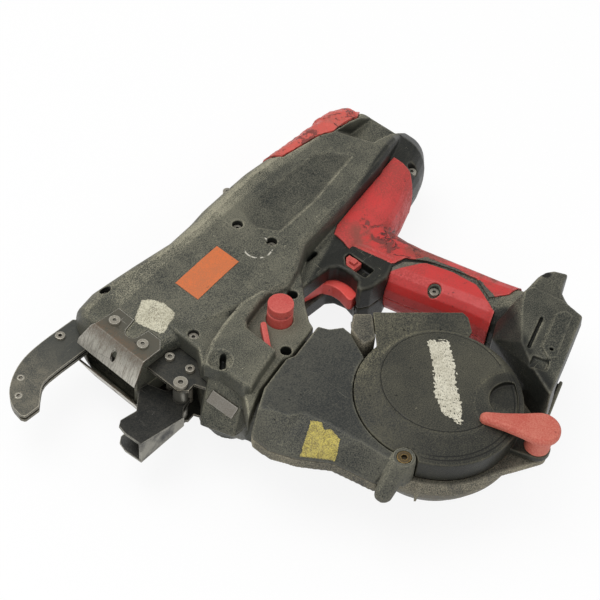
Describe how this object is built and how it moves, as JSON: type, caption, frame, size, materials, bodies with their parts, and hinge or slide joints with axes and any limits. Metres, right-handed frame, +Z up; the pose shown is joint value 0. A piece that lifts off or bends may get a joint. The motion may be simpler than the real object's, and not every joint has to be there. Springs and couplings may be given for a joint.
{
  "type": "rebar tying tool",
  "caption": "Cordless rebar tying tool: motor housing with curl guides at the nose, round wire magazine with hinged cover, pistol handle and battery foot.",
  "frame": {"origin": "on the resting plane, under the axis of the wire spool, with the tool lying on its right side", "axes": "+X to the rear of the tool, +Y to its top (the motor housing), +Z up through its left side"},
  "size_m": [0.3392, 0.2817, 0.078],
  "materials": {
    "housing_plastic": "dusty moulded charcoal plastic",
    "red_rubber": "soft red over-moulded rubber",
    "red_plastic": "faded red plastic",
    "orange_plate": "bare orange plate",
    "black_steel": "blackened steel, worn bright at the edges",
    "bright_steel": "bare steel with dull patches",
    "brass": "dull brass",
    "dark_plastic": "black plastic",
    "board": "green laminate"
  },
  "bodies": {
    "body": {"left_housing": "housing_plastic", "right_housing": "housing_plastic", "top_bumper": "red_rubber", "left_rear_pad": "red_rubber", "right_rear_pad": "red_rubber", "left_grip_panel": "red_rubber", "right_grip_panel": "red_rubber", "blank_plate": "orange_plate", "chassis": "black_steel", "left_wear_plate": "bright_steel", "right_wear_plate": "bright_steel", "wear_screws": "bright_steel", "curl_left": "black_steel", "curl_core_plate": "black_steel", "curl_right": "black_steel", "curl_screws": "bright_steel", "chassis_bolts": "bright_steel", "guide_pin": "bright_steel", "twist_motor": "bright_steel", "gearbox": "black_steel", "feed_motor": "bright_steel", "idler_pin": "bright_steel", "feed_nose_cover": "housing_plastic", "lock_lever_pin": "bright_steel", "trigger_pin": "bright_steel", "trigger_switch": "dark_plastic", "control_board": "board", "terminal_block": "dark_plastic", "terminal_blades": "brass", "magazine_shell": "housing_plastic", "magazine_front": "housing_plastic", "hinge_pin": "bright_steel", "spindle": "dark_plastic", "boss_screw": "brass", "housing_screws": "bright_steel"},
    "trigger": {"trigger": "red_plastic"},
    "trigger_lock": {"trigger_lock": "red_plastic"},
    "release_button": {"release_button": "red_plastic"},
    "lock_lever": {"lock_lever": "red_plastic"},
    "cover": {"magazine_cover": "housing_plastic", "latch_pin": "bright_steel"},
    "cover_latch": {"cover_latch": "red_plastic"},
    "spool": {"spool": "dark_plastic"},
    "lower_guide": {"lower_guide": "black_steel"},
    "feed_gear": {"feed_gear": "bright_steel"},
    "idler_gear": {"idler_gear": "bright_steel"},
    "twist_shaft": {"twist_shaft": "bright_steel"},
    "power_button": {"power_button": "red_plastic"},
    "torque_dial": {"torque_dial": "dark_plastic"}
  },
  "joints": [
    {"name": "trigger_pull", "type": "hinge", "parent": "body", "child": "trigger", "pos_m": [0.02, 0.1265, 0.036], "axis": [0, 0, 1], "range_deg": [0, 8], "stiffness_Nm_per_rad": 0.1},
    {"name": "trigger_lock_slide", "type": "slide", "parent": "body", "child": "trigger_lock", "axis": [0, -1, 0], "range_m": [0, 0.006]},
    {"name": "release_press", "type": "slide", "parent": "body", "child": "release_button", "axis": [0, 0, -1], "range_m": [0, 0.006], "stiffness_N_per_m": 600},
    {"name": "lock_lever_swing", "type": "hinge", "parent": "body", "child": "lock_lever", "pos_m": [-0.0465, 0.091, 0.066], "axis": [0, 0, 1], "range_deg": [-12, 0]},
    {"name": "cover_hinge", "type": "hinge", "parent": "body", "child": "cover", "pos_m": [0.03557, 0.04349, 0.063], "axis": [-0.7071, 0.7071, 0], "range_deg": [0, 105]},
    {"name": "latch_turn", "type": "hinge", "parent": "cover", "child": "cover_latch", "pos_m": [0.01795, -0.05799, 0.066], "axis": [0, 0, 1], "range_deg": [0, 80]},
    {"name": "spool_spin", "type": "hinge", "parent": "body", "child": "spool", "pos_m": [0, 0, 0.036], "axis": [0, 0, 1], "continuous": true},
    {"name": "lower_guide_swing", "type": "hinge", "parent": "body", "child": "lower_guide", "pos_m": [-0.0885, 0.118, 0.036], "axis": [0, 0, 1], "range_deg": [0, 20], "stiffness_Nm_per_rad": 0.2},
    {"name": "feed_gear_spin", "type": "hinge", "parent": "body", "child": "feed_gear", "pos_m": [-0.06, 0.103, 0.036], "axis": [0, 0, 1], "continuous": true},
    {"name": "idler_gear_spin", "type": "hinge", "parent": "body", "child": "idler_gear", "pos_m": [-0.038, 0.103, 0.036], "axis": [0, 0, 1], "continuous": true},
    {"name": "twist_spin", "type": "hinge", "parent": "body", "child": "twist_shaft", "pos_m": [-0.06, 0.163, 0.036], "axis": [1, 0, 0], "continuous": true},
    {"name": "power_press", "type": "slide", "parent": "body", "child": "power_button", "axis": [-1, 0, 0], "range_m": [0, 0.0012], "stiffness_N_per_m": 800},
    {"name": "torque_turn", "type": "hinge", "parent": "body", "child": "torque_dial", "pos_m": [0.164, 0.172, 0.036], "axis": [1, 0, 0], "range_deg": [0, 270]}
  ],
  "couplings": [
    {"joint": "idler_gear_spin", "follows": "feed_gear_spin", "ratio": -1}
  ]
}
